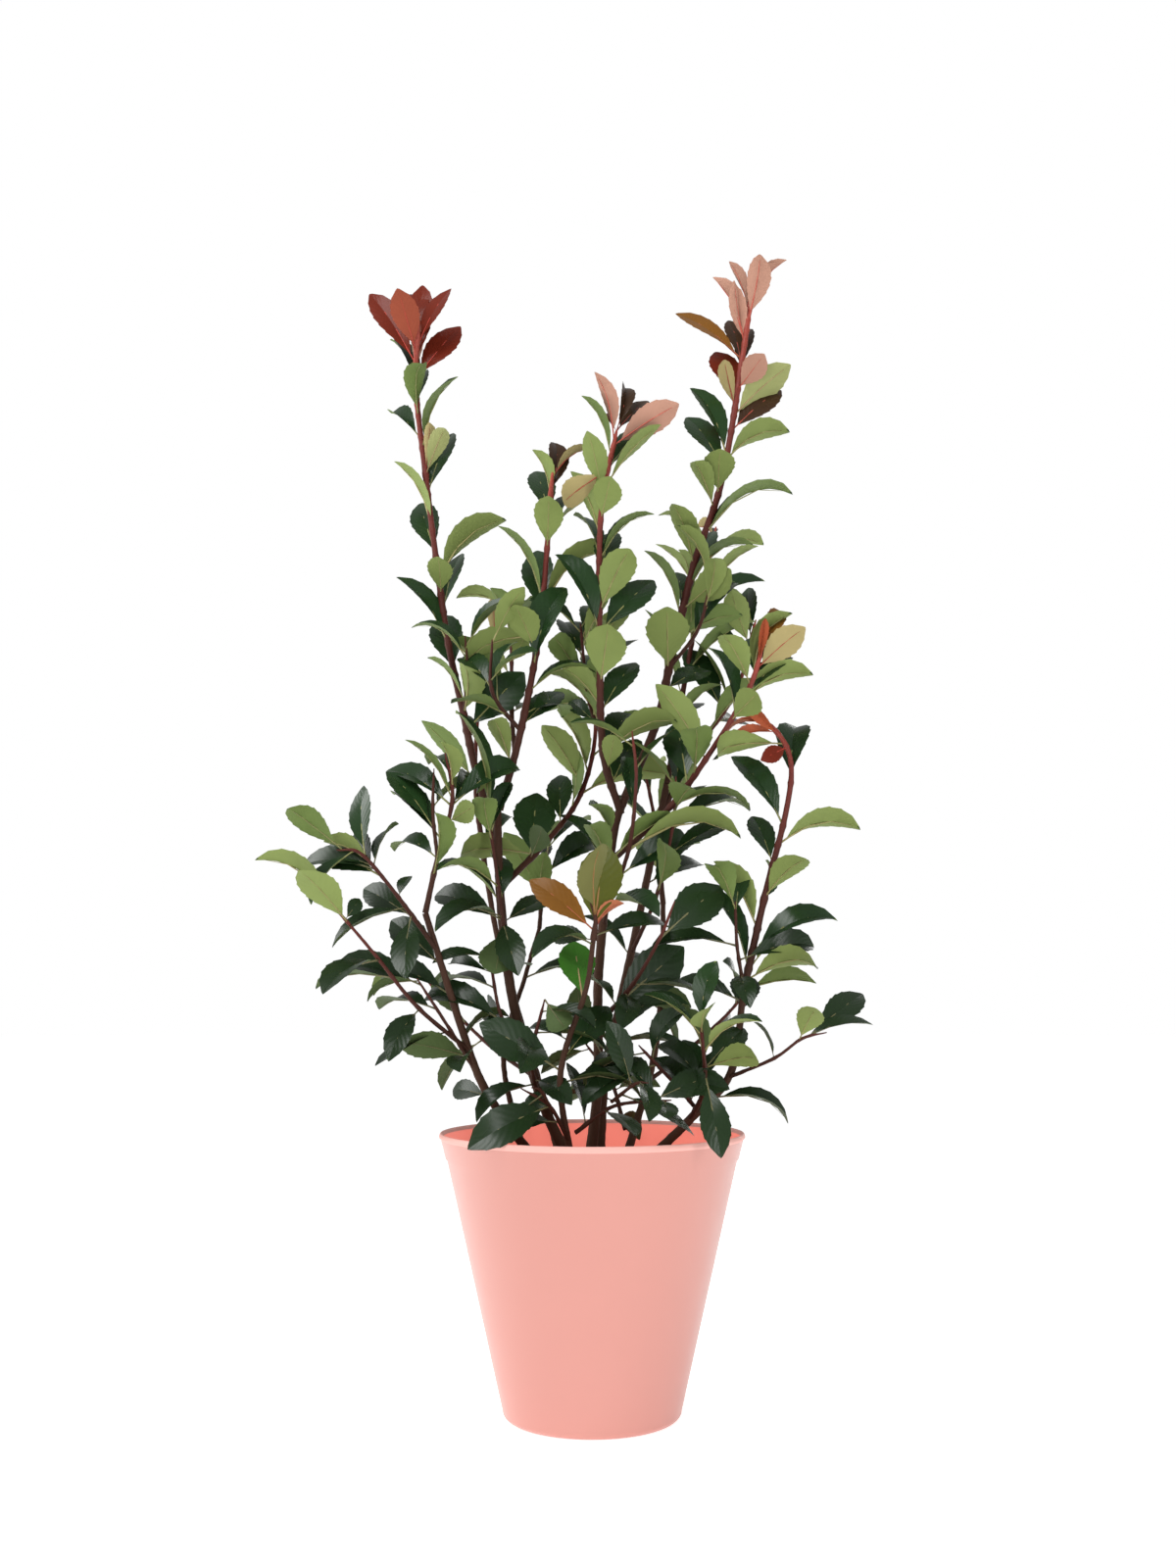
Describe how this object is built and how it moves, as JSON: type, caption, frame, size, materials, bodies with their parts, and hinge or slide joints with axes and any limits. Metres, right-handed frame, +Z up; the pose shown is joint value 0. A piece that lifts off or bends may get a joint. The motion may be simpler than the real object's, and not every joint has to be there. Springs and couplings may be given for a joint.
{
  "type": "potted photinia red robin shrub",
  "caption": "Young red robin photinia with upright leafy shoots and red tips, growing in soil in a smooth tapered pink planter.",
  "frame": {"origin": "centre of the flat underside of the planter", "axes": "+Z up along the planter's axis, -Y towards the side that the picture shows, +X to the right of that view"},
  "size_m": [0.5733, 0.411, 1.2027],
  "materials": {
    "planter": "smooth satin moulded plastic",
    "soil": "dark bark compost, rough",
    "bark": "thin brown bark, matt",
    "young_stem": "smooth red young bark, slight sheen",
    "leaf": "leathery dark green leaves, glossy above and pale below",
    "young_leaf": "soft young leaves, copper red to bronze"
  },
  "bodies": {
    "root": {"bough_back_low": "bark", "bough_back_of_left": "young_stem", "bough_back_side": "bark", "bough_back_tall": "young_stem", "bough_centre": "young_stem", "bough_centre_left": "young_stem", "bough_far_left": "bark", "bough_far_right": "bark", "bough_left_cross": "bark", "bough_left_tall": "young_stem", "bough_low_left_outer": "bark", "bough_low_right": "bark", "bough_right_back": "young_stem", "bough_right_cross": "bark", "bough_right_tall": "young_stem", "mass_arching_spray": "leaf", "mass_arching_tip": "young_leaf", "mass_back_foliage": "leaf", "mass_back_left_spray": "leaf", "mass_back_low_spray": "leaf", "mass_back_of_left_spray": "leaf", "mass_back_right_spray": "leaf", "mass_back_side_spray": "leaf", "mass_back_tall_spray": "leaf", "mass_centre_left_lower": "leaf", "mass_centre_left_upper": "leaf", "mass_centre_lower": "leaf", "mass_centre_upper": "leaf", "mass_far_left_spray": "leaf", "mass_far_right_spray": "leaf", "mass_front_left_foot": "leaf", "mass_front_right_foliage": "leaf", "mass_front_right_foot": "leaf", "mass_front_rosette": "leaf", "mass_left_cross_spray": "leaf", "mass_left_stem_foliage": "leaf", "mass_left_tall_spray": "leaf", "mass_left_tall_tip": "young_leaf", "mass_low_left_foliage": "leaf", "mass_low_left_inner_spray": "leaf", "mass_low_left_outer_spray": "leaf", "mass_low_right_spray": "leaf", "mass_middle_stem_foliage": "leaf", "mass_right_back_spray": "leaf", "mass_right_cross_spray": "leaf", "mass_right_tall_lower": "leaf", "mass_right_tall_tip": "young_leaf", "mass_right_tall_upper": "leaf", "mass_thin_left_spray": "leaf", "planter": "planter", "soil": "soil", "stem_back_left": "bark", "stem_back_right": "bark", "stem_front": "bark", "stem_left": "bark", "stem_low_left": "bark", "stem_low_right": "bark", "stem_middle": "bark", "stem_right": "bark", "stem_thin_left": "bark"}
  },
  "joints": []
}
